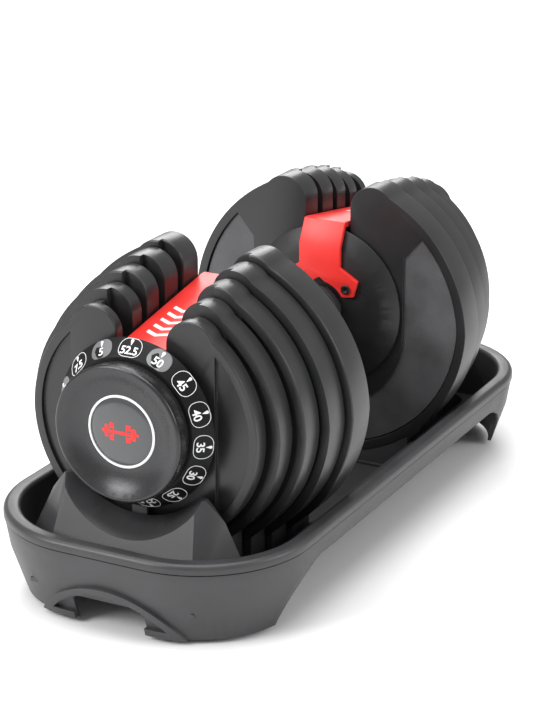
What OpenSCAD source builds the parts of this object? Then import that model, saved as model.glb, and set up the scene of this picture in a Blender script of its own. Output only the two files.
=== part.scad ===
// Adjustable dumbbell resting in its storage tray.
// X runs along the handle, Z points up, and the origin lies under the middle of
// the tray, on the surface that the tray stands on. All sizes are in millimetres.
//
// Each end has five weight plates. A knob turns a sleeve with four flanged discs,
// and a flange that lies under a plate's tab picks that plate up with the handle.

/* [Dumbbell] */
// Height of the handle's axis above the surface
axis_z = 120; // [116:1:140]
// Length of the dumbbell over both knobs
dumbbell_l = 400; // [396:1:480]
// Length of the hand grip
grip_l = 127; // [110:1:140]
// Radius of the hand grip at its middle
grip_r = 17.5; // [15:0.5:19]
// Radius of the steel axle
axle_r = 8; // [6:0.5:9]
// Radius of the turning sleeve on the axle
sleeve_r = 13; // [12:0.5:14]
// Radius of the round guard at each end of the grip
guard_r = 55; // [48:1:60]
// Thickness of the round guard
guard_t = 8; // [6:0.5:9]

/* [Weight plates] */
// Radius of the outermost plate
plate_1_r = 76; // [70:1:82]
// Radius of the second plate
plate_2_r = 84; // [78:1:90]
// Radius of the third plate
plate_3_r = 91.5; // [85:0.5:96]
// Radius of the fourth plate
plate_4_r = 97; // [90:1:101]
// Radius of the innermost plate
plate_5_r = 101.5; // [94:0.5:104]
// Thickness of the outermost plate
plate_1_t = 11.4; // [10.4:0.5:13.4]
// Thickness of the second plate
plate_2_t = 15; // [12:0.5:17]
// Thickness of the third plate
plate_3_t = 18; // [13:0.5:20]
// Thickness of the fourth plate
plate_4_t = 20; // [13:0.5:23]
// Thickness of the innermost plate
plate_5_t = 23; // [13:0.5:27]
// Gap between neighbouring plates
plate_gap = 2.4; // [2.2:0.1:3.2]
// Half width of the slot that the sleeve drops into
slot_w = 16.5; // [15.5:0.5:18]
// Drop of each plate's centre below the axis
plate_drop = 4; // [2:0.5:6]

/* [Knob and number ring] */
// Radius of the knob
knob_r = 42; // [40:0.5:46]
// Depth of the knob
knob_t = 13; // [12:0.5:16]
// Radius of the number ring at its wide end, beside the plates
ring_r = 52.5; // [49:0.5:54]
// Radius of the badge in the middle of the knob
badge_r = 21; // [18:0.5:23]
// Number of weight settings round the ring
settings = 15; // [15]

/* [Tray] */
// Length of the tray at its rim
tray_l = 444; // [430:1:500]
// Width of the tray at its rim
tray_w = 200; // [196:1:240]
// Radius of the tray's corners
tray_corner = 72; // [60:1:80]
// Height of the tray's rim
rim_z = 56; // [54:1:58]
// Wall thickness of the tray mouldings
wall = 2.6; // [2:0.1:3.2]
// Height of the rubber feet
foot_h = 6; // [5:0.5:7]
// Inward slope of the skirt from its top to its bottom
skirt_slope = 13; // [8:1:16]

/* [Fits] */
// Radial clearance of a turning fit
run_fit = 0.05; // [0.03:0.01:0.1]
// Clearance between parts that move past each other
gap = 0.4; // [0.3:0.05:0.6]

/* [Hidden] */
$fn = 96;
PLATES = [1, 2, 3, 4, 5];
DISCS = [1, 2, 3, 4];

// Plates, counted from 1 outermost to 5 innermost
plate_r = [plate_1_r, plate_2_r, plate_3_r, plate_4_r, plate_5_r];
plate_t = [plate_1_t, plate_2_t, plate_3_t, plate_4_t, plate_5_t];
lobe_r = 16;                       // radius of a lobe's rounded top
lobe_y = slot_w + lobe_r;          // middle of a lobe, from the axis
lobe_proud = 0.8;                  // lobe's top over the round outline
inner_lobe = 56;                   // half width of the lobes beside the hand
inner_drop = 15;                   // where their sides start to round inwards
// The larger plates are a little flattened above the axis
function flattened(r) = 0.8 + 0.3 * (r - plate_1_r);
// Top of a plate's lobes above the axis
function lobe_top(r) = sqrt(pow(r, 2) - pow(lobe_y, 2)) - plate_drop - flattened(r) + lobe_proud;
rim_w = 5.5;                       // rim round the flat panels of the outer face
panel_gap = 0.4;                   // from a lobe's edge to the panel beside it
face_recess = 2.6;                 // depth of the flat panels in the faces
skin = 1.6;                        // moulded skin over the steel
core_inset = 7;                    // moulding round the steel's edge
pocket_r = 31;                     // pocket that a disc's flange turns in
pocket_t = 4.4;
guard_u0 = grip_l / 2 + 0.5;       // a guard's grip side, from the middle
guard_face_r = guard_r - 13;       // flat middle of a guard; its rim slopes back from here
guard_edge_t = 1.6;                // straight edge of that rim
guard_slope = (guard_r - guard_face_r) / (guard_t - guard_edge_t);
plates_u0 = guard_u0 + guard_t + 1;
function sum_t(i) = i > 4 ? 0 : plate_t[i] + sum_t(i + 1);
// Inner face of plate i, counted from 1, from the middle of the handle
function plate_u(i) = plates_u0 + sum_t(i) + (5 - i) * plate_gap;
plates_u1 = plate_u(1) + plate_1_t;

// Selector discs and their flanges
disc_r = 29;
flange_w = 4;
disc_t = plate_gap - 2 * gap;
flange_t = pocket_t - 2 * gap + 0.2;
tab_low = disc_r - flange_w - 0.8;  // a tab's lower edge below the axis
tab_high = slot_w + 1.5;
tab_half = 3.5;
STEP = 360 / settings;
PLATE_LB = [1.25, 2.5, 5, 7.5, 7.5];
HANDLE_LB = 5;
WEIGHTS = [5, 7.5, 10, 12.5, 15, 17.5, 20, 22.5, 25, 30, 35, 40, 45, 50, 52.5];

// Load left for plate i once the heavier ones are taken, at one end
function rest_lb(w, i) = i == 5 ? (w - HANDLE_LB) / 2
    : rest_lb(w, i + 1) - (picks(w, i + 1) ? PLATE_LB[i] : 0);
// True when the setting of weight w carries plate i
function picks(w, i) = rest_lb(w, i) >= PLATE_LB[i - 1] - 0.01;

// End hardware, outwards from the outermost plate
housing_u = plates_u1 + 0.6;
housing_t = 2.4;
lock_u = housing_u + housing_t + 0.3;
lock_t = 2.6;
ring_u = lock_u + lock_t + 0.7;
knob_u1 = dumbbell_l / 2;
knob_u0 = knob_u1 - knob_t;
ring_t = knob_u0 - ring_u - 0.3;
wheel_r = 20;
notches = 4 * settings;            // every fourth notch stands at a setting
notch_t = 2.4;
notch_half = 0.7;
tooth_half = 0.4;
tooth_clear = 2.2;                 // tooth above the wheel while docked
lock_travel = 4;
lock_half = 24;
lock_low = 50;                     // lock plate's foot below the axis
lock_high = 31;                    // lock plate's top above the axis
strap_half = 15;
strap_t = 4;
strap_out_z = 40;                  // strap above the axis, beside the ring
strap_gap = 0.6;                   // strap over the guard
strap_in_z = guard_r + strap_gap;  // strap above the axis, over the guard
shelf_z = strap_out_z - 4.2;       // underside of the shelf over the lock spring
spring_r = 1.5;
spring_wire_r = 0.4;
spring_y = 8;                      // spring beside the handle's middle plane
spring_low = lock_high + 0.05;
spring_high = shelf_z - 0.05;
spring_turns = 3;
spring_steps = 16;
spring_sides = 8;
ear_y = 20;                        // bridge's screws, across
ear_z = 16;                        // and above the axis
screw_r = 1.9;
bracket_t = 3.4;
bracket_u = guard_u0 - bracket_t - 0.2;
bracket_top = guard_face_r + 1;    // top of the bracket's flat, above the axis
sleeve_u0 = plates_u0 - 0.4;
dish = 6;                          // depth of the knob's hollow face
badge_u = knob_u1 - dish - 4;      // badge's back
nut_t = 6;
washer_t = 1.4;
axle_half = badge_u - 0.6;
nut_u = axle_half - nut_t - 1;
sleeve_u1 = nut_u - washer_t - gap;

// Tray
tray_a = tray_l / 2;
tray_b = tray_w / 2;
seam_z = rim_z - 6;
ledge_z = 30;                      // gutter inside the rim
tub_a = plates_u1 + 3.5;
tub_b = 63;
tub_corner = 14;
skirt_low = 3;
rim_in = 15;                       // rim's inner side, from the tray's outer edge
scoop_r = ring_r + 5;              // scoop for the ring and knob, at its narrow end
scoop_flare = 14;                  // growth of its radius towards the tray's end
pedestal_u0 = ring_u + 1;
pedestal_u1 = tray_a - 19;
lean = 18.5;                       // lean of the block's outer faces
corner_turn = 42;                  // turn of its corner faces
corner_d = pedestal_u1 * cos(corner_turn) + 50 * sin(corner_turn);
peak_half = 48;
peak_z = axis_z - 38.5;
shoulder_y = 61;
shoulder_z = axis_z - 54;
hollow_half = 40;
cradle_share = 0.6;                // half width of a plate's bed over the plate's radius
post_half = 5;
lug_x = tray_a - 34;
lug_y = 50;
lug_r = 6;
lug_z = 20;
tray_screw_r = 2;
tray_screw_l = ledge_z - wall - lug_z - 0.6;
foot_x = tub_a - 32;
foot_y = tub_b - 18;
foot_r = 11;
arch_half = 125;
arch_r = 40;
arch_top = 38;

module end_of(side) {
    rotate([0, 0, side == "near" ? 180 : 0]) children();
}

// Puts a shape drawn in Y and Z on the axis, thick along X from u
module on_axis(u) {
    translate([u, 0, axis_z]) rotate([90, 0, 90]) children();
}

// Sweeps a profile round a rounded rectangle; the profile's x points outwards
module round_box_sweep(a, b, r) {
    for (q = [0:3]) {
        cx = (q == 0 || q == 3) ? a - r : r - a;
        cy = q < 2 ? b - r : r - b;
        translate([cx, cy, 0]) rotate([0, 0, 90 * q])
            rotate_extrude(angle = 90) translate([r, 0]) children();
    }
    for (turn = [0, 180]) rotate([0, 0, turn]) {
        translate([r - a, b, 0]) rotate([90, 0, 90]) linear_extrude(2 * (a - r)) children();
        translate([a, b - r, 0]) rotate([90, 0, 0]) linear_extrude(2 * (b - r)) children();
    }
}

module round_box(a, b, r) {
    square([2 * a, 2 * (b - r)], center = true);
    square([2 * (a - r), 2 * b], center = true);
    for (x = [r - a, a - r], y = [r - b, b - r]) translate([x, y]) circle(r);
}

function arc(c, r, from, to, n = 8) =
    [for (i = [0:n]) c + r * [cos(from + (to - from) * i / n), sin(from + (to - from) * i / n)]];

// Where the tray's outer edge crosses its end, at a distance from the middle
function tray_end_x(y) =
    tray_a - tray_corner + sqrt(pow(tray_corner, 2) - pow(max(abs(y) - (tray_b - tray_corner), 0), 2));

// ---------------------------------------------------------------- tray

module rim_profile() {
    roll = 3.4;
    polygon(concat(
        [[-wall - 1.5, seam_z - 5], [-wall - 1.5, seam_z], [0, seam_z]],
        arc([-roll, rim_z - roll], roll, 0, 90),
        arc([-roll - 4, rim_z - roll], roll, 90, 168),
        [[-rim_in, ledge_z], [-rim_in, ledge_z - wall], [-rim_in + wall, ledge_z - wall],
         [-roll - 5, seam_z - 5]]));
}

// Half section of the raised block under a knob, across the tray
module pedestal_section(inset, low) {
    top = peak_z - inset;
    side = tray_b - rim_in + 1 - inset;
    polygon([[-side, low], [-side, rim_z], [-side + 2, shoulder_z - 3 - inset],
        [-shoulder_y, shoulder_z - inset], [-peak_half, top], [peak_half, top],
        [shoulder_y, shoulder_z - inset], [side - 2, shoulder_z - 3 - inset], [side, rim_z],
        [side, low]]);
}

// Block under a knob: its outer faces lean in, and its top is scooped out
module pedestal_block(inset, low) {
    u0 = pedestal_u0 + inset;
    difference() {
        translate([u0, 0, 0]) rotate([90, 0, 90])
            linear_extrude(pedestal_u1 - u0) pedestal_section(inset, low);
        for (turn = [-1, 0, 1]) rotate([0, 0, turn * corner_turn])
            translate([(turn == 0 ? pedestal_u1 : corner_d) - inset, 0, ledge_z])
                rotate([0, -lean, 0]) translate([0, -tray_l, -10]) cube([60, 2 * tray_l, 120]);
        on_axis(u0 - 0.01) cylinder(r1 = scoop_r + inset, r2 = scoop_r + inset + scoop_flare,
            h = pedestal_u1 - u0 + 0.02);
    }
}

module pedestal() {
    difference() {
        pedestal_block(0, ledge_z - wall);
        pedestal_hollow();
        rim_clearance();
    }
    // post that holds the lock plate up while the dumbbell is docked
    translate([lock_u, -post_half, ledge_z - wall])
        cube([lock_t, 2 * post_half, axis_z - lock_low - 0.3 - ledge_z + wall]);
}

// Hollow under the block, open below, between the two screw bosses
module pedestal_hollow() {
    intersection() {
        pedestal_block(wall, ledge_z - 2 * wall);
        translate([0, -hollow_half, 0]) cube([tray_l, 2 * hollow_half, 2 * axis_z]);
    }
}

// Keeps the block inside the rounded rim
module rim_clearance() {
    translate([0, 0, ledge_z - wall - 1]) linear_extrude(120) difference() {
        square([2 * tray_l, 2 * tray_w], center = true);
        round_box(tray_a - rim_in, tray_b - rim_in + 1, tray_corner - rim_in);
    }
}

module tray_top() {
    color([0.2, 0.2, 0.21]) {
        round_box_sweep(tray_a, tray_b, tray_corner) rim_profile();
        difference() {
            translate([0, 0, ledge_z - wall]) linear_extrude(wall) difference() {
                round_box(tray_a - rim_in + 0.1, tray_b - rim_in + 0.1, tray_corner - rim_in + 0.1);
                round_box(tub_a, tub_b, tub_corner);
            }
            for (side = ["near", "far"]) end_of(side) pedestal_hollow();
        }
        translate([0, 0, foot_h]) linear_extrude(ledge_z - foot_h) difference() {
            round_box(tub_a + wall, tub_b + wall, tub_corner + wall);
            round_box(tub_a, tub_b, tub_corner);
        }
        translate([0, 0, foot_h]) linear_extrude(wall) round_box(tub_a + 1, tub_b + 1, tub_corner + 1);
        for (side = ["near", "far"]) end_of(side) {
            pedestal();
            for (y = [-lug_y, lug_y]) translate([lug_x, y, lug_z + wall]) difference() {
                cylinder(r = 4.5, h = ledge_z - 2 * wall - lug_z + 0.5);
                translate([0, 0, -1]) cylinder(r = tray_screw_r, h = tray_screw_l + 1.4 - wall);
            }
        }
    }
}

// Bed that holds plate i upright, hollowed to the plate's edge
module plate_cradle(i) {
    u = plate_u(i);
    r = plate_r[i - 1];
    half = min(cradle_share * r, tub_b - 1);
    difference() {
        translate([u + gap, -half, foot_h + wall])
            cube([plate_t[i - 1] - 2 * gap, 2 * half, axis_z - plate_drop - foot_h - wall
                - sqrt(pow(r, 2) - pow(half, 2))]);
        translate([u - 1, 0, axis_z - plate_drop]) rotate([0, 90, 0])
            cylinder(r = r + 0.3, h = plate_t[i - 1] + 2);
    }
}

// Insert in one end of the tub, with a bed for each plate
module plate_rack(side) {
    half = tub_b - 8;
    color([0.16, 0.16, 0.17]) end_of(side) {
        translate([plates_u0 - 2, -half, foot_h + wall]) cube([plates_u1 - plates_u0 + 3, 2 * half, 1.8]);
        for (i = PLATES) plate_cradle(i);
    }
}

// Leaning wall; proud moves its outer side outwards
module skirt_profile(proud = 0) {
    polygon([[-0.6, seam_z - 0.8], [-wall - 0.6, seam_z - 0.8], [-wall - 3, 32],
        [-wall - skirt_slope, skirt_low], [proud - skirt_slope, skirt_low], [proud - 3.4, 32]]);
}

// Opening in a long side: flat top with rounded shoulders
module arch_outline() {
    translate([-arch_half, -40]) square([2 * arch_half, 40 + arch_top]);
    for (x = [-arch_half, arch_half]) translate([x, arch_top - arch_r]) circle(arch_r);
}

// Arched band over the finger opening, drawn across the tray's end
module brow_outline(grow) {
    intersection() {
        translate([0, -28]) circle(58 + grow);
        translate([-60, skirt_low - grow]) square([120, 60]);
    }
}

module tray_skirt() {
    brow_proud = 3;
    color([0.23, 0.23, 0.24]) difference() {
        union() {
            round_box_sweep(tray_a, tray_b, tray_corner) skirt_profile();
            for (side = ["near", "far"]) end_of(side) {
                // arched brow over the finger opening
                intersection() {
                    round_box_sweep(tray_a, tray_b, tray_corner) skirt_profile(brow_proud);
                    translate([tray_a - 60, 0, 0]) rotate([90, 0, 90]) linear_extrude(80)
                        difference() {
                            brow_outline(0);
                            brow_outline(-5);
                        }
                }
                // lugs for the screws, with a web out to the wall
                for (y = [-lug_y, lug_y]) translate([lug_x, y, lug_z]) {
                    cylinder(r = lug_r, h = wall);
                    translate([0, -lug_r, 0])
                        cube([tray_end_x(lug_y + lug_r) - 5.83 - lug_x, 2 * lug_r, wall]);
                }
            }
        }
        translate([0, tray_w, 0]) rotate([90, 0, 0]) linear_extrude(2 * tray_w) arch_outline();
        for (side = ["near", "far"]) end_of(side) {
            translate([tray_a - 60, -24, -1]) cube([80, 48, 21]);
            for (y = [-lug_y, lug_y]) translate([lug_x, y, lug_z - 1]) cylinder(r = 2.3, h = wall + 2);
        }
    }
}

module tray_feet() {
    color([0.08, 0.08, 0.08]) for (x = [-foot_x, foot_x], y = [-foot_y, foot_y])
        translate([x, y, 0]) cylinder(r1 = foot_r - 1, r2 = foot_r, h = foot_h);
}

module tray_screws() {
    color("silver") for (x = [-lug_x, lug_x], y = [-lug_y, lug_y]) translate([x, y, lug_z]) {
        translate([0, 0, -2.4]) cylinder(r = 3.8, h = 2.4);
        cylinder(r = tray_screw_r, h = tray_screw_l);
    }
}

// ---------------------------------------------------------------- handle

module axle() {
    color("silver") on_axis(-axle_half) cylinder(r = axle_r, h = 2 * axle_half);
}

module hand_grip() {
    half = grip_l / 2;
    end_r = grip_r - 2;
    color([0.13, 0.13, 0.13]) on_axis(0) rotate_extrude() polygon(concat(
        [[axle_r, -half], [end_r, -half]],
        [for (i = [1:11]) let (x = -half + i * half / 6)
            [end_r + 2 * pow(cos(90 * x / half), 0.8), x]],
        [[end_r, half], [axle_r, half]]));
}

module axle_nuts() {
    color("silver") for (side = ["near", "far"]) end_of(side) on_axis(nut_u) {
        difference() {
            cylinder(r = 11.5, h = nut_t, $fn = 6);
            translate([0, 0, -1]) cylinder(r = axle_r, h = nut_t + 2);
        }
        translate([0, 0, -washer_t]) difference() {
            cylinder(r = 12.4, h = washer_t);
            translate([0, 0, -1]) cylinder(r = axle_r, h = 4);
        }
    }
}

module guard(side) {
    color([0.12, 0.12, 0.12]) end_of(side) difference() {
        on_axis(guard_u0) rotate_extrude() polygon([
            [axle_r, 0], [guard_face_r, 0], [guard_r, guard_t - guard_edge_t], [guard_r, guard_t],
            [axle_r, guard_t]]);
        for (y = [-1, 1]) on_axis(guard_u0 - 1) translate([y * ear_y, ear_z, 0])
            cylinder(r = screw_r, h = 6);
    }
}

// Strap over the guard's sloping rim: height over u, a distance clear of the slope
function over_rim_z(u, clear) =
    guard_face_r + (u - guard_u0) * guard_slope + clear * sqrt(1 + pow(guard_slope, 2));
function over_rim_u(z, clear) =
    guard_u0 + (z - guard_face_r - clear * sqrt(1 + pow(guard_slope, 2))) / guard_slope;

// Strap drawn from the side: along the handle, and up from the axis
module strap_profile() {
    u_back = bracket_u + bracket_t;
    u_edge = guard_u0 + guard_t;
    u_out = ring_u - 0.8;
    outer = strap_gap + bracket_t;
    polygon([[bracket_u, bracket_top - 9], [bracket_u, over_rim_z(bracket_u, outer)],
        [over_rim_u(strap_in_z + strap_t, outer), strap_in_z + strap_t],
        [u_edge, strap_in_z + strap_t], [housing_u - 1, strap_out_z + strap_t],
        [u_out, strap_out_z + strap_t], [u_out, strap_out_z], [housing_u - 1, strap_out_z],
        [u_edge + 1, strap_in_z], [over_rim_u(strap_in_z, strap_gap), strap_in_z],
        [u_back, bracket_top], [u_back, bracket_top - 9]]);
}

// Bracket drawn from the grip side: a neck that spreads into two ears
module bracket_outline() {
    difference() {
        polygon([[-strap_half, bracket_top - 1], [-strap_half, 30], [-ear_y - 8, ear_z + 6],
            [-ear_y - 5, ear_z - 5], [-ear_y + 3, ear_z - 6], [0, ear_z + 6],
            [ear_y - 3, ear_z - 6], [ear_y + 5, ear_z - 5], [ear_y + 8, ear_z + 6],
            [strap_half, 30], [strap_half, bracket_top - 1]]);
        circle(grip_r + 2);
    }
}

module bridge(side) {
    color([0.88, 0.14, 0.13]) end_of(side) difference() {
        union() {
            translate([0, strap_half, axis_z]) rotate([90, 0, 0])
                linear_extrude(2 * strap_half) strap_profile();
            on_axis(bracket_u) linear_extrude(bracket_t) bracket_outline();
        }
        for (y = [-1, 1]) on_axis(bracket_u - 1) translate([y * ear_y, ear_z, 0])
            cylinder(r = screw_r + 0.2, h = bracket_t + 2);
    }
}

module bridge_screws() {
    color("dimgray") for (side = ["near", "far"], y = [-1, 1]) end_of(side)
        on_axis(bracket_u) translate([y * ear_y, ear_z, 0]) {
            translate([0, 0, -1.6]) cylinder(r = 3.2, h = 1.6);
            cylinder(r = screw_r, h = 8);
        }
}

module end_housing(side) {
    rail = 3;
    color([0.1, 0.1, 0.1]) end_of(side) on_axis(housing_u) {
        difference() {
            linear_extrude(housing_t) {
                circle(34);
                translate([-strap_half, 0]) square([2 * strap_half, strap_out_z]);
            }
            translate([0, 0, -1]) cylinder(r = sleeve_r + run_fit, h = housing_t + 2);
        }
        for (y = [-1, 1]) translate([y * (lock_half + gap + rail / 2), 0, housing_t + lock_t / 2])
            cube([rail, 34, lock_t + 0.01], center = true);
        // shelf over the lock spring
        translate([-strap_half, shelf_z, housing_t - 0.01])
            cube([2 * strap_half, strap_out_z - shelf_z, lock_t + 0.1]);
    }
}

// Sliding yoke round the index wheel; its tooth points down at the wheel
module lock_plate(side) {
    color("gray") end_of(side) on_axis(lock_u) linear_extrude(lock_t) {
        difference() {
            union() {
                translate([-lock_half, -22]) square([2 * lock_half, 22 + lock_high]);
                circle(lock_half);
                translate([-8, -lock_low]) square([16, lock_low - 10]);
            }
            translate([0, -1]) circle(wheel_r + 1.6);
            translate([-wheel_r - 1.6, -1]) square([2 * wheel_r + 3.2, wheel_r + lock_travel + 1.6]);
        }
        translate([-tooth_half, wheel_r + tooth_clear]) square([2 * tooth_half, 5]);
    }
}

module lock_spring(side) {
    rings = spring_turns * spring_steps;
    rise = spring_high - spring_low - 2 * spring_wire_r;
    points = [for (i = [0:rings], j = [0:spring_sides - 1])
        let (a = 360 * i / spring_steps, b = 360 * j / spring_sides,
             r = spring_r - spring_wire_r + spring_wire_r * cos(b))
        [r * cos(a), r * sin(a),
         spring_low + spring_wire_r + rise * i / rings + spring_wire_r * sin(b)]];
    walls = [for (i = [0:rings - 1], j = [0:spring_sides - 1])
        let (k = (j + 1) % spring_sides)
        [i * spring_sides + j, (i + 1) * spring_sides + j,
         (i + 1) * spring_sides + k, i * spring_sides + k]];
    ends = [[for (j = [0:spring_sides - 1]) j],
        [for (j = [spring_sides - 1:-1:0]) rings * spring_sides + j]];
    color("silver") end_of(side) translate([lock_u + lock_t / 2, spring_y, axis_z])
        polyhedron(points, concat(walls, ends), convexity = 4);
}

// ---------------------------------------------------------------- knob and selector

module sleeve(side) {
    color([0.3, 0.3, 0.3]) end_of(side) {
        on_axis(sleeve_u0) difference() {
            cylinder(r = sleeve_r, h = sleeve_u1 - sleeve_u0);
            translate([0, 0, -1]) cylinder(r = axle_r + run_fit, h = sleeve_u1 - sleeve_u0 + 2);
        }
        on_axis(lock_u) difference() {
            cylinder(r = wheel_r, h = lock_t);
            translate([0, 0, -1]) cylinder(r = sleeve_r - 1, h = lock_t + 2);
            for (i = [0:notches - 1]) rotate([0, 0, i * 360 / notches])
                translate([-notch_half, wheel_r - notch_t, -1])
                    cube([2 * notch_half, notch_t + 1, lock_t + 2]);
        }
    }
}

// Ring sector from a ring's inner to its outer radius, centred on an angle
module sector(r0, r1, at, width) {
    far = 2 * r1;
    intersection() {
        difference() {
            circle(r1);
            circle(r0);
        }
        polygon([[0, 0], far * [cos(at - width / 2), sin(at - width / 2)],
            far * [cos(at), sin(at)], far * [cos(at + width / 2), sin(at + width / 2)]]);
    }
}

// Flange under plate i's tab at every setting that carries the plate
module flange(i) {
    for (s = [0:settings - 1]) if (picks(WEIGHTS[s], i))
        sector(disc_r - flange_w, disc_r, 270 + STEP * ((s + 1) % settings), STEP + 0.2);
}

// Disc 1 serves plates 1 and 2; discs 2 to 4 serve plates 3 to 5
module selector_disc(side, d) {
    u = plate_u(d) - plate_gap + gap;
    color([0.45, 0.45, 0.46]) end_of(side) {
        on_axis(u) linear_extrude(disc_t) difference() {
            circle(disc_r);
            circle(sleeve_r);
        }
        on_axis(u - flange_t) linear_extrude(flange_t + 0.01) flange(d + 1);
        if (d == 1) on_axis(u + disc_t - 0.01) linear_extrude(flange_t + 0.01) flange(1);
    }
}

module number_ring(side) {
    web_u = 0.6;
    web_t = 3;
    color([0.07, 0.07, 0.07]) end_of(side) on_axis(ring_u) rotate_extrude() polygon([
        [ring_r - 3, 0], [ring_r - 0.8, 0], [ring_r, 0.8], [knob_r + 1.2, ring_t], [knob_r - 3, ring_t],
        [ring_r - 5.5, web_u + web_t], [sleeve_r, web_u + web_t], [sleeve_r, web_u],
        [ring_r - 4.5, web_u]]);
}

module knob(side) {
    lip = 1.8;
    wide = knob_r - 2 * lip;           // hollow's radius at the lip
    narrow = badge_r + 2.6;            // and at its flat floor
    color([0.2, 0.2, 0.2]) end_of(side) on_axis(knob_u0) rotate_extrude() polygon(concat(
        [[15, 0], [knob_r - 1, 0]],
        arc([knob_r - lip, knob_t - lip], lip, 0, 120),
        [for (k = [1:7]) [wide - (wide - narrow) * k / 7, knob_t - dish + dish * pow(1 - k / 7, 1.6)]],
        [[badge_r + 1.4, knob_t - dish], [badge_r + 1.4, knob_t - dish - 2], [badge_r, knob_t - dish - 2],
         [badge_r, knob_t - dish - 4], [15, knob_t - dish - 4]]));
}

module trim_ring(side) {
    color("white") end_of(side) on_axis(knob_u1 - dish - 2) rotate_extrude() polygon([
        [badge_r, 0], [badge_r + 1.4, 0], [badge_r + 1.4, 2], [badge_r + 0.4, 2.4], [badge_r, 2.2]]);
}

module badge(side) {
    dome = 2.2;
    color([0.25, 0.25, 0.26]) end_of(side) on_axis(badge_u) rotate_extrude() polygon(concat(
        [[0, 0], [badge_r, 0]],
        [for (i = [0:6]) let (r = badge_r * (1 - i / 6))
            [r, 3.6 + dome * (1 - pow(r / badge_r, 2))]]));
}

// ---------------------------------------------------------------- plates

// Slotted round outline with two rounded lobes beside the slot
module plate_outline(r, inset, slot) {
    lobe_z = lobe_top(r) - lobe_r;
    difference() {
        union() {
            difference() {
                intersection() {
                    translate([0, -plate_drop]) circle(r - inset);
                    translate([0, -plate_drop - flattened(r)]) circle(r - inset);
                }
                translate([-lobe_y, lobe_z]) square([2 * lobe_y, r]);
            }
            for (y = [-1, 1]) translate([y * lobe_y, lobe_z]) circle(lobe_r - inset);
        }
        circle(slot);
        translate([-slot, 0]) square([2 * slot, 2 * r]);
    }
}

// Flat panels beside the lobes
module outer_panels(r) {
    lobe_z = lobe_top(r) - lobe_r;
    difference() {
        intersection() {
            translate([0, -plate_drop]) circle(r - rim_w);
            translate([0, -plate_drop - flattened(r)]) circle(r - rim_w);
        }
        translate([0, lobe_z - r]) square([2 * (lobe_y + lobe_r), 2 * r], center = true);
        for (y = [-1, 1]) translate([y * lobe_y, lobe_z]) circle(lobe_r + panel_gap);
        translate([-lobe_y, 0]) square([2 * lobe_y, 2 * r]);
    }
}

// Flat panels of the face beside the hand, round the guard
module inner_panels(r) {
    corner = 40;                   // height at which the lobes start to widen
    difference() {
        intersection() {
            translate([0, -plate_drop]) circle(r - 6);
            translate([0, -plate_drop - flattened(r)]) circle(r - 6);
        }
        translate([0, -inner_drop]) circle(inner_lobe);
        translate([-inner_lobe, -inner_drop]) square([2 * inner_lobe, 2 * r]);
        for (y = [-1, 1]) polygon([[y * (inner_lobe - 1), corner - 2], [y * (inner_lobe + r / 2), r],
            [y * (inner_lobe - 1), r]]);
    }
}

module pocket_outline(r) {
    circle(r);
    translate([-r, 0]) square([2 * r, 200]);
}

// Steel slab inside plate i
module core_solid(i) {
    t = plate_t[i - 1];
    depth = pocket_t + skin;
    core_t = t - skin - face_recess - skin;
    difference() {
        translate([0, 0, skin]) linear_extrude(core_t)
            intersection() {
                translate([0, -plate_drop]) circle(plate_r[i - 1] - core_inset);
                plate_outline(plate_r[i - 1], core_inset, slot_w + 5);
            }
        translate([0, 0, i == 1 ? -1 : t - depth]) linear_extrude(depth + 1) pocket_outline(pocket_r + skin);
    }
}

module plate(side, i) {
    t = plate_t[i - 1];
    r = plate_r[i - 1];
    shade = 0.16 + 0.01 * i;
    color([shade, shade, shade]) end_of(side) on_axis(plate_u(i)) difference() {
        union() {
            difference() {
                linear_extrude(t) plate_outline(r, 0, slot_w);
                translate([0, 0, t - face_recess]) linear_extrude(face_recess + 1) outer_panels(r);
                if (i == 5) translate([0, 0, -1]) linear_extrude(face_recess + 1) inner_panels(r);
                translate([0, 0, i == 1 ? -1 : t - pocket_t])
                    linear_extrude(pocket_t + 1) pocket_outline(pocket_r);
            }
            // tab that a flange lifts
            translate([-tab_half, -tab_low, i == 1 ? 0.3 : t - pocket_t - 1])
                cube([2 * tab_half, tab_low - tab_high, pocket_t + 0.7]);
        }
        core_solid(i);
    }
}

module plate_core(side, i) {
    color("slategray") end_of(side) on_axis(plate_u(i)) core_solid(i);
}

// ---------------------------------------------------------------- nodes

tray_top();
tray_skirt();
tray_feet();
tray_screws();
plate_rack("near");  // near_plate_rack
plate_rack("far");  // far_plate_rack
axle();
hand_grip();
axle_nuts();
bridge_screws();
for (side = ["near", "far"]) {
    guard(side);
    bridge(side);
    end_housing(side);
    lock_plate(side);
    lock_spring(side);
    sleeve(side);
    number_ring(side);
    knob(side);
    trim_ring(side);
    badge(side);
    for (i = DISCS) {
        selector_disc(side, i);
    }
    for (i = PLATES) {
        plate(side, i);
        plate_core(side, i);
    }
}
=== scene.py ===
"""Adjustable dumbbell in its storage tray: finishes, rounded mouldings, numbered dials and a studio."""

import math

import bmesh
import bpy
from bpy.props import FloatProperty, FloatVectorProperty, IntProperty, PointerProperty
from mathutils import Matrix, Vector


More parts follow.
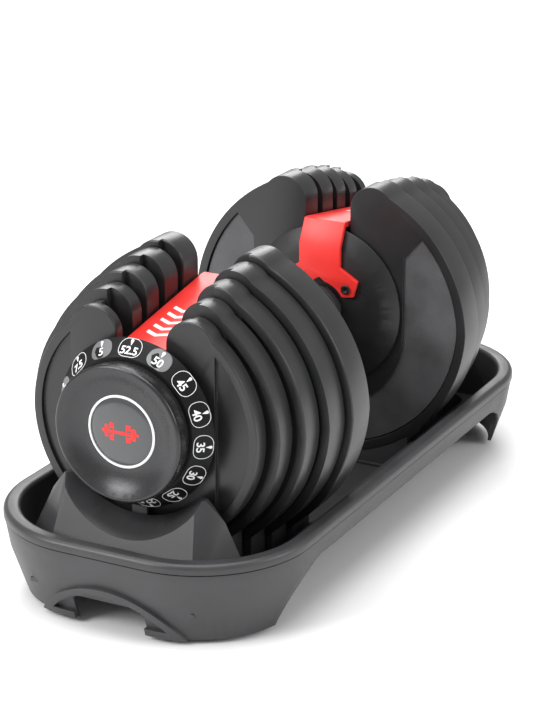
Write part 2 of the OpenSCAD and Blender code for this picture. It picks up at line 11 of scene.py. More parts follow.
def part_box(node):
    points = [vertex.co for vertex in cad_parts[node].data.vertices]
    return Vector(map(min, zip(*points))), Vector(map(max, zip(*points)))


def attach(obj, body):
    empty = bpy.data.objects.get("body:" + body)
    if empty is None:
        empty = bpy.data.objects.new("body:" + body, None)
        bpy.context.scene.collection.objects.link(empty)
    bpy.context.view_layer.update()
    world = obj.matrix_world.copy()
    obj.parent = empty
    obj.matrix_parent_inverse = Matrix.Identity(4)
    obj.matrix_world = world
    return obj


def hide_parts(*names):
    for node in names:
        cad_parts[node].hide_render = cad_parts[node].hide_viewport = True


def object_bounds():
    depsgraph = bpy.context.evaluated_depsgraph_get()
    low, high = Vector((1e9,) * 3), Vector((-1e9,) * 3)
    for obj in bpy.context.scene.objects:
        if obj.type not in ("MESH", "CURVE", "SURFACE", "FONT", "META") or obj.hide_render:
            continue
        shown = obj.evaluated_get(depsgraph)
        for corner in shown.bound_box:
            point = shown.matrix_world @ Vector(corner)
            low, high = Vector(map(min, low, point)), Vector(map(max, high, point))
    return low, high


bl_info = {
    "name": "Adjustable Dumbbell",
    "version": (1, 0, 0),
    "blender": (4, 5, 0),
    "location": "View3D > Sidebar > Dumbbell",
    "description": "Builds the visible pieces, finishes and studio of a dial-selected dumbbell",
    "category": "Object",
}

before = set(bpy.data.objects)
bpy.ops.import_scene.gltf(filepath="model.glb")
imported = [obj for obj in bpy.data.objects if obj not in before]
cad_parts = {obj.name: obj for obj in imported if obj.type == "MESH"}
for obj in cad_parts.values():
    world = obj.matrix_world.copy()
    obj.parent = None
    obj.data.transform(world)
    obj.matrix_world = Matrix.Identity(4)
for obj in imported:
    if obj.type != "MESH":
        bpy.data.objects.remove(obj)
CAD_BOX = [list(corner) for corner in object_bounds()]

MM = 0.001
ENDS = {"near": -1, "far": 1}
PLATES = range(1, 6)
WEIGHTS = ["52.5", "50", "45", "40", "35", "30", "25", "22.5", "20", "17.5", "15", "12.5", "10", "7.5", "5"]
SHADED_WEIGHTS = ["50", "10", "5"]
AXIS_Z = sum(corner.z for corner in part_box("axle")) / 2


# ---------------------------------------------------------------- settings

class DumbbellSizes(bpy.types.PropertyGroup):
    """Sizes of the rounded edges, the numerals and the pictogram"""

    plate_rim: FloatProperty(
        name="Plate rim", description="Rounding of each plate's outer rim",
        default=3.4 * MM, min=1 * MM, max=4 * MM, subtype="DISTANCE", unit="LENGTH")
    moulded_edge: FloatProperty(
        name="Moulded edge", description="Radius of the bridges' rounded edges",
        default=1.1 * MM, min=0.2 * MM, max=2 * MM, subtype="DISTANCE", unit="LENGTH")
    tray_edge: FloatProperty(
        name="Tray edge", description="Radius of the tray's rounded edges",
        default=0.7 * MM, min=0.2 * MM, max=1.2 * MM, subtype="DISTANCE", unit="LENGTH")
    fine_edge: FloatProperty(
        name="Fine edge", description="Radius of the small parts' edges",
        default=0.5 * MM, min=0.1 * MM, max=1 * MM, subtype="DISTANCE", unit="LENGTH")
    edge_segments: IntProperty(
        name="Edge segments", description="Faces across each rounded edge", default=3, min=1, max=6)
    numeral_height: FloatProperty(
        name="Numeral height", description="Height of the numbers on the dial",
        default=5 * MM, min=3 * MM, max=6 * MM, subtype="DISTANCE", unit="LENGTH")
    print_height: FloatProperty(
        name="Print height", description="How far numerals and marks stand above their surface",
        default=0.12 * MM, min=0.05 * MM, max=0.4 * MM, subtype="DISTANCE", unit="LENGTH")
    tab_width: FloatProperty(
        name="Number tab width", description="Width of the outlined tab round each number",
        default=15 * MM, min=10 * MM, max=20 * MM, subtype="DISTANCE", unit="LENGTH")
    strap_fall: FloatProperty(
        name="Strap fall", description="Slope of the bridge's strap towards its end",
        default=math.radians(9.08), min=0, max=math.radians(20), subtype="ANGLE", unit="ROTATION")
    pictogram_width: FloatProperty(
        name="Pictogram width", description="Width of the dumbbell sign on the badge",
        default=25 * MM, min=15 * MM, max=32 * MM, subtype="DISTANCE", unit="LENGTH")


class DumbbellColours(bpy.types.PropertyGroup):
    """Colours of the mouldings and of the studio"""

    plate: FloatVectorProperty(
        name="Plates", description="Moulded cover of the weight plates", subtype="COLOR",
        default=(0.020, 0.020, 0.021), min=0, max=1)
    tray: FloatVectorProperty(
        name="Tray", description="Tray mouldings", subtype="COLOR",
        default=(0.034, 0.034, 0.036), min=0, max=1)
    bridge: FloatVectorProperty(
        name="Bridge", description="Red bridge over each stack of plates", subtype="COLOR",
        default=(0.80, 0.030, 0.024), min=0, max=1)
    guard: FloatVectorProperty(
        name="Guard", description="Round guards and end housings", subtype="COLOR",
        default=(0.011, 0.011, 0.012), min=0, max=1)
    knob: FloatVectorProperty(
        name="Knob", description="Selector knobs", subtype="COLOR",
        default=(0.05, 0.05, 0.052), min=0, max=1)
    print_white: FloatVectorProperty(
        name="Print", description="Numerals, ticks and index marks", subtype="COLOR",
        default=(0.86, 0.86, 0.86), min=0, max=1)
    floor: FloatVectorProperty(
        name="Floor", description="Studio floor and background", subtype="COLOR",
        default=(0.92, 0.92, 0.92), min=0, max=1)


def sizes():
    return bpy.context.scene.dumbbell_sizes


def colours():
    return bpy.context.scene.dumbbell_colours


# ---------------------------------------------------------------- finishes

def add_socket(group, name, kind, direction, default=None):
    socket = group.interface.new_socket(name=name, in_out=direction, socket_type=kind)
    if default is not None:
        socket.default_value = default


def moulding_group():
    """Colour, roughness and height of a moulded surface: fine spark-eroded grain over slow mottling."""
    name, mottles_per_metre = "Moulded grain", 38
    if name in bpy.data.node_groups:
        return bpy.data.node_groups[name]
    group = bpy.data.node_groups.new(name, "ShaderNodeTree")
    add_socket(group, "Color", "NodeSocketColor", "INPUT", (0.05, 0.05, 0.05, 1))
    add_socket(group, "Mottling", "NodeSocketFloat", "INPUT", 0.15)
    add_socket(group, "Grain per metre", "NodeSocketFloat", "INPUT", 2500.0)
    add_socket(group, "Rough low", "NodeSocketFloat", "INPUT", 0.35)
    add_socket(group, "Rough high", "NodeSocketFloat", "INPUT", 0.5)
    add_socket(group, "Color", "NodeSocketColor", "OUTPUT")
    add_socket(group, "Roughness", "NodeSocketFloat", "OUTPUT")
    add_socket(group, "Height", "NodeSocketFloat", "OUTPUT")
    nodes, links = group.nodes, group.links
    inputs, outputs = nodes.new("NodeGroupInput"), nodes.new("NodeGroupOutput")
    place = nodes.new("ShaderNodeTexCoord")
    grain = nodes.new("ShaderNodeTexNoise")
    grain.inputs["Detail"].default_value = 3
    cloud = nodes.new("ShaderNodeTexNoise")
    cloud.inputs["Scale"].default_value = mottles_per_metre
    cloud.inputs["Detail"].default_value = 4
    links.new(place.outputs["Object"], grain.inputs["Vector"])
    links.new(place.outputs["Object"], cloud.inputs["Vector"])
    links.new(inputs.outputs["Grain per metre"], grain.inputs["Scale"])

    lighter = nodes.new("ShaderNodeMix")
    lighter.data_type = "RGBA"
    lighter.blend_type = "MULTIPLY"
    shade = nodes.new("ShaderNodeMapRange")
    shade.inputs["From Min"].default_value = 0.3
    shade.inputs["From Max"].default_value = 0.7
    shade.inputs["To Min"].default_value = 0.55
    shade.inputs["To Max"].default_value = 1.25
    shade.clamp = False
    links.new(cloud.outputs["Fac"], shade.inputs["Value"])
    links.new(inputs.outputs["Mottling"], lighter.inputs["Factor"])
    links.new(inputs.outputs["Color"], lighter.inputs["A"])
    links.new(shade.outputs["Result"], lighter.inputs["B"])

    rough = nodes.new("ShaderNodeMapRange")
    blend = nodes.new("ShaderNodeMath")
    blend.operation = "MULTIPLY_ADD"
    blend.inputs[1].default_value = 0.5
    half = nodes.new("ShaderNodeMath")
    half.operation = "MULTIPLY"
    half.inputs[1].default_value = 0.5
    links.new(cloud.outputs["Fac"], half.inputs[0])
    links.new(grain.outputs["Fac"], blend.inputs[0])
    links.new(half.outputs["Value"], blend.inputs[2])
    rough.inputs["From Min"].default_value = 0.35
    rough.inputs["From Max"].default_value = 0.65
    links.new(blend.outputs["Value"], rough.inputs["Value"])
    links.new(inputs.outputs["Rough low"], rough.inputs["To Min"])
    links.new(inputs.outputs["Rough high"], rough.inputs["To Max"])

    links.new(lighter.outputs["Result"], outputs.inputs["Color"])
    links.new(rough.outputs["Result"], outputs.inputs["Roughness"])
    links.new(grain.outputs["Fac"], outputs.inputs["Height"])
    return group


def new_material(name):
    """An empty node material and its Principled shader."""
    material = bpy.data.materials.new(name)
    material.use_nodes = True
    return material, material.node_tree.nodes["Principled BSDF"]


def moulded(name, colour, rough, mottling=0.3, grain=2500.0, depth=0.05, specular=0.5, metallic=0.0,
            coat=0.0):
    """A moulded, cast or coated surface with grain; rough is its lowest and highest roughness."""
    material, shader = new_material(name)
    tree = material.node_tree
    finish = tree.nodes.new("ShaderNodeGroup")
    finish.node_tree = moulding_group()
    finish.inputs["Color"].default_value = (*colour, 1)
    finish.inputs["Mottling"].default_value = mottling
    finish.inputs["Grain per metre"].default_value = grain
    finish.inputs["Rough low"].default_value, finish.inputs["Rough high"].default_value = rough
    bump = tree.nodes.new("ShaderNodeBump")
    bump.inputs["Strength"].default_value = 1.0
    bump.inputs["Distance"].default_value = depth * MM
    tree.links.new(finish.outputs["Color"], shader.inputs["Base Color"])
    tree.links.new(finish.outputs["Roughness"], shader.inputs["Roughness"])
    tree.links.new(finish.outputs["Height"], bump.inputs["Height"])
    tree.links.new(bump.outputs["Normal"], shader.inputs["Normal"])
    shader.inputs["Specular IOR Level"].default_value = specular
    shader.inputs["Metallic"].default_value = metallic
    shader.inputs["Coat Weight"].default_value = coat
    shader.inputs["Coat Roughness"].default_value = 0.12
    return material


def turned(name, colour, rough, rings, depth, metallic):
    """A turned surface: fine rings about the handle's axis over the moulded grain."""
    material = moulded(name, colour, rough, mottling=0.15, depth=0.01, metallic=metallic)
    tree = material.node_tree
    place = tree.nodes.new("ShaderNodeTexCoord")
    centre = tree.nodes.new("ShaderNodeMapping")
    centre.inputs["Location"].default_value = (0, 0, -AXIS_Z)
    ring = tree.nodes.new("ShaderNodeTexWave")
    ring.wave_type = "RINGS"
    ring.rings_direction = "X"
    ring.inputs["Scale"].default_value = rings
    ring.inputs["Distortion"].default_value = 1.5
    ring.inputs["Detail"].default_value = 3
    ring.inputs["Detail Scale"].default_value = 1.5
    bump = next(node for node in tree.nodes if node.type == "BUMP")
    fine = tree.nodes.new("ShaderNodeBump")
    fine.inputs["Distance"].default_value = depth * MM
    shader = tree.nodes["Principled BSDF"]
    tree.links.new(place.outputs["Object"], centre.inputs["Vector"])
    tree.links.new(centre.outputs["Vector"], ring.inputs["Vector"])
    tree.links.new(ring.outputs["Fac"], fine.inputs["Height"])
    tree.links.new(bump.outputs["Normal"], fine.inputs["Normal"])
    tree.links.new(fine.outputs["Normal"], shader.inputs["Normal"])
    return material


def grip_rubber():
    """Soft black rubber with a woven diamond texture round the grip."""
    slant, ridges_per_metre, ridge = 35, 120, 0.25 * MM
    material = moulded("Grip rubber", (0.022, 0.022, 0.023), (0.55, 0.75), depth=0.03)
    tree = material.node_tree
    place = tree.nodes.new("ShaderNodeTexCoord")
    shader = tree.nodes["Principled BSDF"]
    last = next(node for node in tree.nodes if node.type == "BUMP")
    for turn in (slant, -slant):
        turned_place = tree.nodes.new("ShaderNodeMapping")
        turned_place.inputs["Rotation"].default_value = (0, math.radians(turn), math.radians(turn))
        wave = tree.nodes.new("ShaderNodeTexWave")
        wave.inputs["Scale"].default_value = ridges_per_metre
        bump = tree.nodes.new("ShaderNodeBump")
        bump.inputs["Distance"].default_value = ridge
        tree.links.new(place.outputs["Object"], turned_place.inputs["Vector"])
        tree.links.new(turned_place.outputs["Vector"], wave.inputs["Vector"])
        tree.links.new(wave.outputs["Fac"], bump.inputs["Height"])
        tree.links.new(last.outputs["Normal"], bump.inputs["Normal"])
        last = bump
    tree.links.new(last.outputs["Normal"], shader.inputs["Normal"])
    return material


def make_finishes():
    """Every finish of the dumbbell and its tray, by name."""
    hue = colours()
    return {
        "plate": moulded("Plate cover", hue.plate, (0.28, 0.38), mottling=0.35, grain=3200, depth=0.035),
        "tray": moulded("Tray plastic", hue.tray, (0.34, 0.46), mottling=0.35, grain=2600, depth=0.05),
        "skirt": moulded("Tray skirt plastic", [c * 1.2 for c in hue.tray], (0.38, 0.5), grain=2200,
                         depth=0.06),
        "rubber": moulded("Foot rubber", (0.02, 0.02, 0.02), (0.65, 0.8), depth=0.06),
        "grip": grip_rubber(),
        "bridge": moulded("Bridge red", hue.bridge, (0.36, 0.46), mottling=0.12, depth=0.02),
        "guard": moulded("Guard black", hue.guard, (0.34, 0.5), mottling=0.4, grain=1800, depth=0.05),
        "ring": moulded("Dial black", (0.006, 0.006, 0.0065), (0.4, 0.52), depth=0.02, specular=0.2),
        "tab": moulded("Dial tab silver", (0.2, 0.2, 0.205), (0.3, 0.4), depth=0.01, metallic=0.4),
        "knob": turned("Knob satin", hue.knob, (0.22, 0.3), rings=700, depth=0.015, metallic=0.7),
        "badge": moulded("Badge gloss", (0.05, 0.052, 0.054), (0.16, 0.24), mottling=0.2, depth=0.004,
                         coat=0.6),
        "white": moulded("White print", hue.print_white, (0.35, 0.45), mottling=0.08, depth=0.006),
        "red_print": moulded("Red print", (0.72, 0.02, 0.018), (0.3, 0.4), mottling=0.15, depth=0.006),
        "steel": turned("Turned steel", (0.56, 0.56, 0.58), (0.22, 0.34), rings=700, depth=0.01,
                        metallic=1.0),
        "black_steel": moulded("Blackened steel", (0.05, 0.05, 0.052), (0.3, 0.45), metallic=0.8,
                               depth=0.01),
        "core": moulded("Cast plate core", (0.13, 0.13, 0.135), (0.5, 0.7), mottling=0.6, grain=900,
                        depth=0.15, metallic=0.6),
        "inner": moulded("Inner nylon", (0.12, 0.12, 0.12), (0.4, 0.55), depth=0.03),
    }


def paint(piece, finish):
    piece.data.materials.clear()
    piece.data.materials.append(finishes[finish])


# ---------------------------------------------------------------- modelling helpers

def select_only(*pieces):
    bpy.ops.object.select_all(action="DESELECT")
    for piece in pieces:
        piece.select_set(True)
    bpy.context.view_layer.objects.active = pieces[0]


def in_edit_mode(piece, *steps):
    """Runs edit-mode steps on all of one piece."""
    select_only(piece)
    bpy.ops.object.mode_set(mode="EDIT")
    bpy.ops.mesh.select_all(action="SELECT")
    for step in steps:
        step()
    bpy.ops.object.mode_set(mode="OBJECT")


def merge_and_face_out():
    bpy.ops.mesh.remove_doubles(threshold=1e-6)
    bpy.ops.mesh.normals_make_consistent(inside=False)


def apply_modifiers(piece):
    select_only(piece)
    for modifier in list(piece.modifiers):
        bpy.ops.object.modifier_apply(modifier=modifier.name)


def round_edges(piece, width, segments, angle=30, weighed=False):
    """Rounds every sharp edge, or every edge by its weight, then smooths the shading."""
    bevel = piece.modifiers.new("Rounded edges", "BEVEL")
    bevel.width = width
    bevel.segments = segments
    bevel.limit_method = "WEIGHT" if weighed else "ANGLE"
    bevel.angle_limit = math.radians(angle)
    bevel.use_clamp_overlap = True
    apply_modifiers(piece)
    select_only(piece)
    bpy.ops.object.shade_smooth_by_angle(angle=math.radians(angle))


def settle(piece, name, body, finish):
    """Names a finished piece, leaves its place in its mesh and lets it ride on its body."""
    select_only(piece)
    bpy.ops.object.transform_apply(location=True, rotation=True, scale=True)
    piece.name = piece.data.name = name
    paint(piece, finish)
    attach(piece, body)
    return piece


def join(pieces):
    select_only(*pieces)
    if len(pieces) > 1:
        bpy.ops.object.join()
    return pieces[0]


def rounded_copy(node, body, finish, width, segments=None, angle=30, weigh=None):
    """A copy of a part with rounded edges, which stands for it; weigh sets how round each edge is."""
    piece = bpy.data.objects.new(node + "_moulding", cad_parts[node].data.copy())
    bpy.context.scene.collection.objects.link(piece)
    select_only(piece)
    bpy.ops.mesh.customdata_custom_splitnormals_clear()
    in_edit_mode(
        piece,
        lambda: bpy.ops.mesh.remove_doubles(threshold=1e-6),
        lambda: bpy.ops.mesh.dissolve_limited(angle_limit=math.radians(0.5)))
    if weigh:
        weigh(piece)
    round_edges(piece, width, segments or sizes().edge_segments, angle, weighed=bool(weigh))
    settle(piece, node + "_moulding", body, finish)
    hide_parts(node)
    return piece


def both_ends(build):
    """Runs a builder for each end, with the end's name and its side of the middle."""
    for end, side in ENDS.items():
        build(end, side)


# ---------------------------------------------------------------- operators

class DUMBBELL_OT_tray(bpy.types.Operator):
    """Rounded tray and skirt, plate racks, rubber feet and screws"""

    bl_idname = "dumbbell.tray"
    bl_label = "Build tray"

    def execute(self, context):
        rounded_copy("tray_top", "tray", "tray", sizes().tray_edge, 2)
        rounded_copy("tray_skirt", "tray", "skirt", sizes().tray_edge, 2)
        for end in ENDS:
            rounded_copy(end + "_plate_rack", "tray", "tray", sizes().fine_edge, 2)
        rounded_copy("tray_feet", "tray", "rubber", sizes().fine_edge)
        paint(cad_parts["tray_screws"], "steel")
        return {"FINISHED"}


class DUMBBELL_OT_plates(bpy.types.Operator):
    """Moulded covers of the ten weight plates, with their steel cores"""

    bl_idname = "dumbbell.plates"
    bl_label = "Build weight plates"

    def execute(self, context):
        for end in ENDS:
            for i in PLATES:
                node = f"{end}_plate_{i}"
                rounded_copy(node, f"{end}_weight_{i}", "plate", sizes().plate_rim, 5,
                             weigh=self.weigh_edges)
                paint(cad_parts[node + "_core"], "core")
        return {"FINISHED"}

    def weigh_edges(self, piece):
        """Rounds the rim of a plate's outer face most, its inner rim less and its panels least."""
        outer_rim, inner_rim, panel = 1, 0.4, 0.22
        sharp = math.radians(30)
        xs = [vertex.co.x for vertex in piece.data.vertices]
        depth = max(xs) - min(xs)
        outwards = 1 if sum(xs) > 0 else -1
        mesh = bmesh.new()
        mesh.from_mesh(piece.data)
        weights = mesh.edges.layers.float.new("bevel_weight_edge")
        for edge in mesh.edges:
            if not edge.is_manifold or edge.calc_face_angle() < sharp:
                continue
            spans = [max(v.co.x for v in face.verts) - min(v.co.x for v in face.verts)
                     for face in edge.link_faces]
            facing = [face.normal.x * outwards for face in edge.link_faces]
            if max(spans) < depth / 2:
                edge[weights] = panel
            else:
                edge[weights] = outer_rim if max(facing) > 0.9 else inner_rim
        mesh.to_mesh(piece.data)
        mesh.free()


class DUMBBELL_OT_bridges(bpy.types.Operator):
    """Round guards, red bridges with their index marks, and end housings"""

    bl_idname = "dumbbell.bridges"
    bl_label = "Build guards and bridges"

    def execute(self, context):
        both_ends(self.build_end)
        self.screws()
        return {"FINISHED"}

    def build_end(self, end, side):
        rounded_copy(end + "_guard", "handle", "guard", sizes().moulded_edge)
        rounded_copy(end + "_bridge", "handle", "bridge", sizes().moulded_edge)
        rounded_copy(end + "_end_housing", "handle", "guard", sizes().fine_edge, 2)
        self.index_marks(end, side)

    def index_marks(self, end, side):
        """A row of chevrons along the strap, pointing at the number on top of the ring."""
        count, pitch, reach, start = 5, 8 * MM, 3.5 * MM, 46 * MM
        length, width = 3 * MM, 15 * MM
        edge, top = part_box("far_guard")[1].x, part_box("far_bridge")[1].z
        made = []
        for k in range(count):
            bpy.ops.mesh.primitive_plane_add(size=1)
            mark = bpy.context.object
            mark.scale = (length, width, 1)
            bpy.ops.object.transform_apply(location=False, rotation=False, scale=True)
            in_edit_mode(
                mark,
                lambda: bpy.ops.mesh.subdivide(number_cuts=1),
                lambda: bpy.ops.mesh.extrude_region_move(
                    TRANSFORM_OT_translate={"value": (0, 0, 2 * sizes().print_height)}))
            for vertex in mark.data.vertices:
                across = abs(vertex.co.y) / (width / 2)
                u = edge + start + k * pitch + vertex.co.x + reach * (1 - across)
                surface = top - (u - edge) * math.tan(sizes().strap_fall)
                height = vertex.co.z - sizes().print_height
                vertex.co = (side * u, side * vertex.co.y, surface + height)
            made.append(mark)
        marks = join(made)
        in_edit_mode(marks, merge_and_face_out)
        settle(marks, end + "_index_marks", "handle", "white")

    def screws(self):
        """Button-head screws with hexagonal sockets, through the bridges' ears."""
        head_r, head_t, head_edge = 3.2 * MM, 1.6 * MM, 0.35 * MM
        socket_r, socket_t, shank_r = 1.7 * MM, 1.1 * MM, 1.856 * MM
        low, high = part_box("bridge_screws")
        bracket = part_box("far_bridge")[0].x
        shank = high.x - bracket
        made = []
        for x in ENDS.values():
            for y in (low.y + head_r, high.y - head_r):
                bpy.ops.mesh.primitive_cylinder_add(
                    vertices=32, radius=head_r, depth=head_t, rotation=(0, math.pi / 2, 0),
                    location=(x * (bracket - head_t / 2), y, (low.z + high.z) / 2))
                head = bpy.context.object
                bpy.ops.mesh.primitive_cylinder_add(
                    vertices=6, radius=socket_r, depth=2 * socket_t, rotation=(0, math.pi / 2, 0),
                    location=(x * (bracket - head_t), y, (low.z + high.z) / 2))
                socket = bpy.context.object
                cut = head.modifiers.new("Socket", "BOOLEAN")
                cut.object = socket
                cut.solver = "EXACT"
                apply_modifiers(head)
                bpy.data.objects.remove(socket)
                round_edges(head, head_edge, 3)
                bpy.ops.mesh.primitive_cylinder_add(
                    vertices=24, radius=shank_r, depth=shank, rotation=(0, math.pi / 2, 0),
                    location=(x * (bracket + shank / 2), y, (low.z + high.z) / 2))
                made += [head, bpy.context.object]
        screws = join(made)
        settle(screws, "bridge_socket_screws", "handle", "black_steel")
        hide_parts("bridge_screws")


class DUMBBELL_OT_dials(bpy.types.Operator):
    """Number rings with their numerals, ticks and outlined tabs"""

    bl_idname = "dumbbell.dials"
    bl_label = "Build number rings"

    def execute(self, context):
        both_ends(self.build_end)
        return {"FINISHED"}

    def build_end(self, end, side):
        rounded_copy(end + "_number_ring", end + "_selector", "ring", sizes().fine_edge)
        wide_u, wide, face_u, narrow = self.cone()
        slope = math.atan2(wide - narrow, face_u - wide_u)
        slant = math.hypot(wide - narrow, face_u - wide_u)

        def on_ring(piece, turn):
            """Wraps a flat piece, drawn across and towards the plates, on to the ring's cone."""
            for vertex in piece.data.vertices:
                across, along, height = vertex.co
                radius = narrow + along * math.sin(slope) + height * math.cos(slope)
                angle = turn + across / (narrow + along * math.sin(slope))
                u = face_u - along * math.cos(slope) + height * math.sin(slope)
                vertex.co = (side * u, side * radius * math.sin(angle), AXIS_Z + radius * math.cos(angle))

        numerals, ticks, outlines, tabs = [], [], [], []
        for k, weight in enumerate(WEIGHTS):
            turn = 2 * math.pi * k / len(WEIGHTS)
            surround, draw = (tabs, self.tab) if weight in SHADED_WEIGHTS else (outlines, self.outline)
            for group, made in (
                    (numerals, self.numeral(weight)), (ticks, self.tick(slant)), (surround, draw(slant))):
                on_ring(made, turn)
                group.append(made)
        for group, name, finish, slot in (
                (numerals, "numerals", "white", "white_trim"),
                (ticks, "ticks", "white", "white_trim"),
                (outlines, "number_outlines", "white", "white_trim"),
                (tabs, "number_tabs", "tab", "ring_plastic")):
            piece = join(group)
            in_edit_mode(piece, merge_and_face_out)
            settle(piece, f"{end}_{name}", end + "_selector", finish)

    def cone(self):
        """The numbered cone: where it is widest and its radius there, then the same at the ring's face."""
        points = [(v.co.x, math.hypot(v.co.y, v.co.z - AXIS_Z))
                  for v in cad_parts["far_number_ring"].data.vertices]
        wide = max(radius for _, radius in points)
        wide_u = max(u for u, radius in points if radius > wide - 0.05 * MM)
        face_u = max(u for u, _ in points)
        narrow = max(radius for u, radius in points if u > face_u - 0.01 * MM)
        return wide_u, wide, face_u, narrow

    def numeral(self, words):
        """A number, centred across and standing near the knob's side of the cone."""
        size_over_height, boldness, spacing, foot = 1.4, 0.12 * MM, 0.95, 2.4 * MM
        bpy.ops.object.text_add(location=(0, 0, 0))
        text = bpy.context.object
        text.data.body = words
        text.data.align_x = "CENTER"
        text.data.size = sizes().numeral_height * size_over_height
        text.data.extrude = sizes().print_height
        text.data.offset = boldness
        text.data.space_character = spacing
        bpy.ops.object.convert(target="MESH")
        piece = bpy.context.object
        self.lift(piece, foot, 2 * sizes().print_height)
        return piece

    def tick(self, slant):
        """A teardrop that widens towards the plates."""
        radius, tail, taper, inset = 0.95 * MM, 3.0 * MM, 0.75, 2.2 * MM
        bpy.ops.mesh.primitive_circle_add(vertices=24, radius=radius, fill_type="NGON")
        piece = bpy.context.object
        for vertex in piece.data.vertices:
            if vertex.co.y < 0:
                vertex.co.x *= 1 + taper * vertex.co.y / radius
                vertex.co.y *= tail / radius
        self.thicken(piece, 2 * sizes().print_height)
        self.lift(piece, slant - inset, sizes().print_height)
        return piece

    def rounded_tab(self, slant):
        """A flat tab with round corners, a little shorter than the cone's slant."""
        width, margin, corner_share = sizes().tab_width, 1 * MM, 0.36
        bpy.ops.mesh.primitive_plane_add(size=1)
        piece = bpy.context.object
        piece.scale = (width, slant - margin, 1)
        bpy.ops.object.transform_apply(location=False, rotation=False, scale=True)
        in_edit_mode(piece, lambda: bpy.ops.mesh.bevel(
            offset=width * corner_share, segments=8, affect="VERTICES", clamp_overlap=True))
        return piece

    def tab(self, slant):
        """A filled tab behind a number."""
        piece = self.rounded_tab(slant)
        in_edit_mode(piece, lambda: bpy.ops.mesh.subdivide(number_cuts=1))
        self.thicken(piece, sizes().print_height)
        self.lift(piece, slant / 2, 0)
        return piece

    def outline(self, slant):
        """A thin outline round a number."""
        line = 0.3 * MM
        piece = self.rounded_tab(slant)
        in_edit_mode(
            piece,
            lambda: bpy.ops.mesh.inset(thickness=line),
            lambda: bpy.ops.mesh.delete(type="FACE"))
        self.thicken(piece, 2 * sizes().print_height)
        self.lift(piece, slant / 2, 0)
        return piece

    def thicken(self, piece, thickness):
        in_edit_mode(piece, lambda: bpy.ops.mesh.extrude_region_move(
            TRANSFORM_OT_translate={"value": (0, 0, thickness)}))

    def lift(self, piece, along, height):
        piece.location = (0, along, height)
        select_only(piece)
        bpy.ops.object.transform_apply(location=True, rotation=False, scale=False)


class DUMBBELL_OT_knobs(bpy.types.Operator):
    """Selector knobs with their white rings and domed badges"""

    bl_idname = "dumbbell.knobs"
    bl_label = "Build knobs and badges"

    def execute(self, context):
        both_ends(self.build_end)
        return {"FINISHED"}

    def build_end(self, end, side):
        body = end + "_selector"
        rounded_copy(end + "_knob", body, "knob", sizes().fine_edge, 2)
        rounded_copy(end + "_badge", body, "badge", sizes().fine_edge, 2, 25)
        paint(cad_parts[end + "_trim_ring"], "white")
        self.pictogram(end, side)

    def pictogram(self, end, side):
        """A small dumbbell sign, laid on the badge's dome."""
        low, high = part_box("far_badge")
        radius, dome, sink = (high.y - low.y) / 2, 2.2 * MM, 0.5 * MM
        drawn_width, corner = 25, 0.7
        unit = sizes().pictogram_width / drawn_width
        bars = [(0, drawn_width, 2)]  # the place across, the width and the height of each bar
        for y in (-1, 1):
            bars += [(y * 5.6, 3.2, 11), (y * 9.2, 2.8, 7.6)]
        made = []
        for across, width, height in bars:
            bpy.ops.mesh.primitive_plane_add(size=1)
            bar = bpy.context.object
            bar.scale = (width * unit, height * unit, 1)
            bar.location = (across * unit, 0, 0)
            bpy.ops.object.transform_apply(location=True, rotation=False, scale=True)
            in_edit_mode(
                bar,
                lambda: bpy.ops.mesh.bevel(offset=corner * unit, segments=4, affect="VERTICES"),
                self.slice,
                lambda: bpy.ops.mesh.extrude_region_move(TRANSFORM_OT_translate={"value": (0, 0, 1)}))
            made.append(bar)
        sign = join(made)
        for vertex in sign.data.vertices:
            y, z, top = vertex.co
            far = math.hypot(y, z) / radius
            surface = high.x - dome * far ** 2
            lift = sizes().print_height if top > 0.5 else -sink
            vertex.co = (side * (surface + lift), side * y, AXIS_Z + z)
        in_edit_mode(sign, merge_and_face_out)
        settle(sign, end + "_badge_sign", end + "_selector", "red_print")

    def slice(self):
        """Cuts a flat bar every 2 mm across, so that it can bend."""
        step, half_count = 2 * MM, 6
        for k in range(-half_count, half_count + 1):
            bpy.ops.mesh.select_all(action="SELECT")
            bpy.ops.mesh.bisect(plane_co=(k * step, 0, 0), plane_no=(1, 0, 0))
        bpy.ops.mesh.select_all(action="SELECT")


class DUMBBELL_OT_handle(bpy.types.Operator):
    """Rubber hand grip, axle and nuts"""

    bl_idname = "dumbbell.handle"
    bl_label = "Build handle"

    def execute(self, context):
        rounded_copy("hand_grip", "handle", "grip", sizes().fine_edge)
        for node in ("axle", "axle_nuts"):
            paint(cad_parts[node], "steel")
        return {"FINISHED"}


class DUMBBELL_OT_inner_works(bpy.types.Operator):
    """Finishes of the selector discs, sleeves, lock plates and springs"""

    bl_idname = "dumbbell.inner_works"
    bl_label = "Finish inner works"

    def execute(self, context):
        for end in ENDS:
            paint(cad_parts[end + "_sleeve"], "inner")
            for part in ("lock_plate", "lock_spring"):
                paint(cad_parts[f"{end}_{part}"], "steel")
            for disc in range(1, 5):
                paint(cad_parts[f"{end}_selector_disc_{disc}"], "steel")
        return {"FINISHED"}


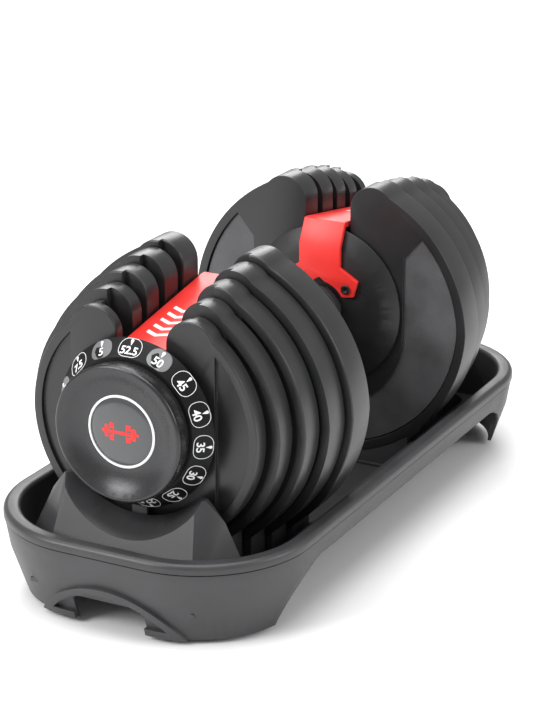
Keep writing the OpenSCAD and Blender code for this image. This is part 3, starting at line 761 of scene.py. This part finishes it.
class DUMBBELL_OT_studio(bpy.types.Operator):
    """Pale floor, soft lights and the camera"""

    bl_idname = "dumbbell.studio"
    bl_label = "Set up studio"

    def execute(self, context):
        self.floor()
        self.lights()
        self.camera()
        return {"FINISHED"}

    def floor(self):
        """A wide flat floor."""
        width = 12
        bpy.ops.mesh.primitive_plane_add(size=width, location=(0, 0, 0))
        floor = bpy.context.object
        floor.name = "studio_floor"
        material, shader = new_material("Studio floor")
        shader.inputs["Base Color"].default_value = (*colours().floor, 1)
        shader.inputs["Roughness"].default_value = 0.7
        floor.data.materials.append(material)

    def lights(self):
        world = bpy.data.worlds.new("Studio")
        bpy.context.scene.world = world
        world.use_nodes = True
        sky = world.node_tree.nodes["Background"]
        sky.inputs["Color"].default_value = (1, 1, 1, 1)
        sky.inputs["Strength"].default_value = 0.5
        for name, place, size, power in (
                ("Top", (-0.1, 0.1, 1.7), 1.5, 30),
                ("Key", (-1.65, 1.1, 1.3), 1.0, 36),
                ("Side", (0.4, -1.9, 1.0), 1.0, 17),
                ("Back", (1.6, 0.9, 1.1), 1.0, 16)):
            lamp = bpy.data.lights.new(name, "AREA")
            lamp.energy = power
            lamp.size = size
            holder = bpy.data.objects.new(name, lamp)
            bpy.context.scene.collection.objects.link(holder)
            aim = Vector((0, 0, AXIS_Z)) - Vector(place)
            holder.matrix_world = (
                Matrix.Translation(place) @ aim.to_track_quat("-Z", "Y").to_matrix().to_4x4())

    def camera(self):
        low, high = (Vector(corner) for corner in CAD_BOX)
        target = (low + high) / 2
        place = Vector((-1.238, -0.647, 0.605))
        camera = bpy.data.cameras.new("Camera")
        camera.lens = 114
        camera.clip_start = 0.01
        holder = bpy.data.objects.new("Camera", camera)
        bpy.context.scene.collection.objects.link(holder)
        aim = target - place
        holder.matrix_world = (
            Matrix.Translation(place) @ aim.to_track_quat("-Z", "Y").to_matrix().to_4x4())
        bpy.context.scene.camera = holder
        bpy.context.scene.view_settings.view_transform = "Standard"


class DUMBBELL_PT_panel(bpy.types.Panel):
    """Sizes, colours and build steps of the dumbbell"""

    bl_idname = "DUMBBELL_PT_panel"
    bl_label = "Adjustable Dumbbell"
    bl_space_type = "VIEW_3D"
    bl_region_type = "UI"
    bl_category = "Dumbbell"

    def draw(self, context):
        for settings in (context.scene.dumbbell_sizes, context.scene.dumbbell_colours):
            column = self.layout.column()
            for name in settings.__annotations__:
                column.prop(settings, name)
        for operator in BUILD_STEPS:
            self.layout.operator(operator.bl_idname)


BUILD_STEPS = (
    DUMBBELL_OT_tray, DUMBBELL_OT_plates, DUMBBELL_OT_bridges, DUMBBELL_OT_dials, DUMBBELL_OT_knobs,
    DUMBBELL_OT_handle, DUMBBELL_OT_inner_works, DUMBBELL_OT_studio)
CLASSES = (DumbbellSizes, DumbbellColours, *BUILD_STEPS, DUMBBELL_PT_panel)
finishes = {}


def register():
    for cls in CLASSES:
        bpy.utils.register_class(cls)
    bpy.types.Scene.dumbbell_sizes = PointerProperty(type=DumbbellSizes)
    bpy.types.Scene.dumbbell_colours = PointerProperty(type=DumbbellColours)


def unregister():
    del bpy.types.Scene.dumbbell_colours
    del bpy.types.Scene.dumbbell_sizes
    for cls in reversed(CLASSES):
        bpy.utils.unregister_class(cls)


def main():
    register()
    finishes.update(make_finishes())
    for operator in BUILD_STEPS:
        group, step = operator.bl_idname.split(".")
        getattr(getattr(bpy.ops, group), step)()


if __name__ == "__main__":
    main()
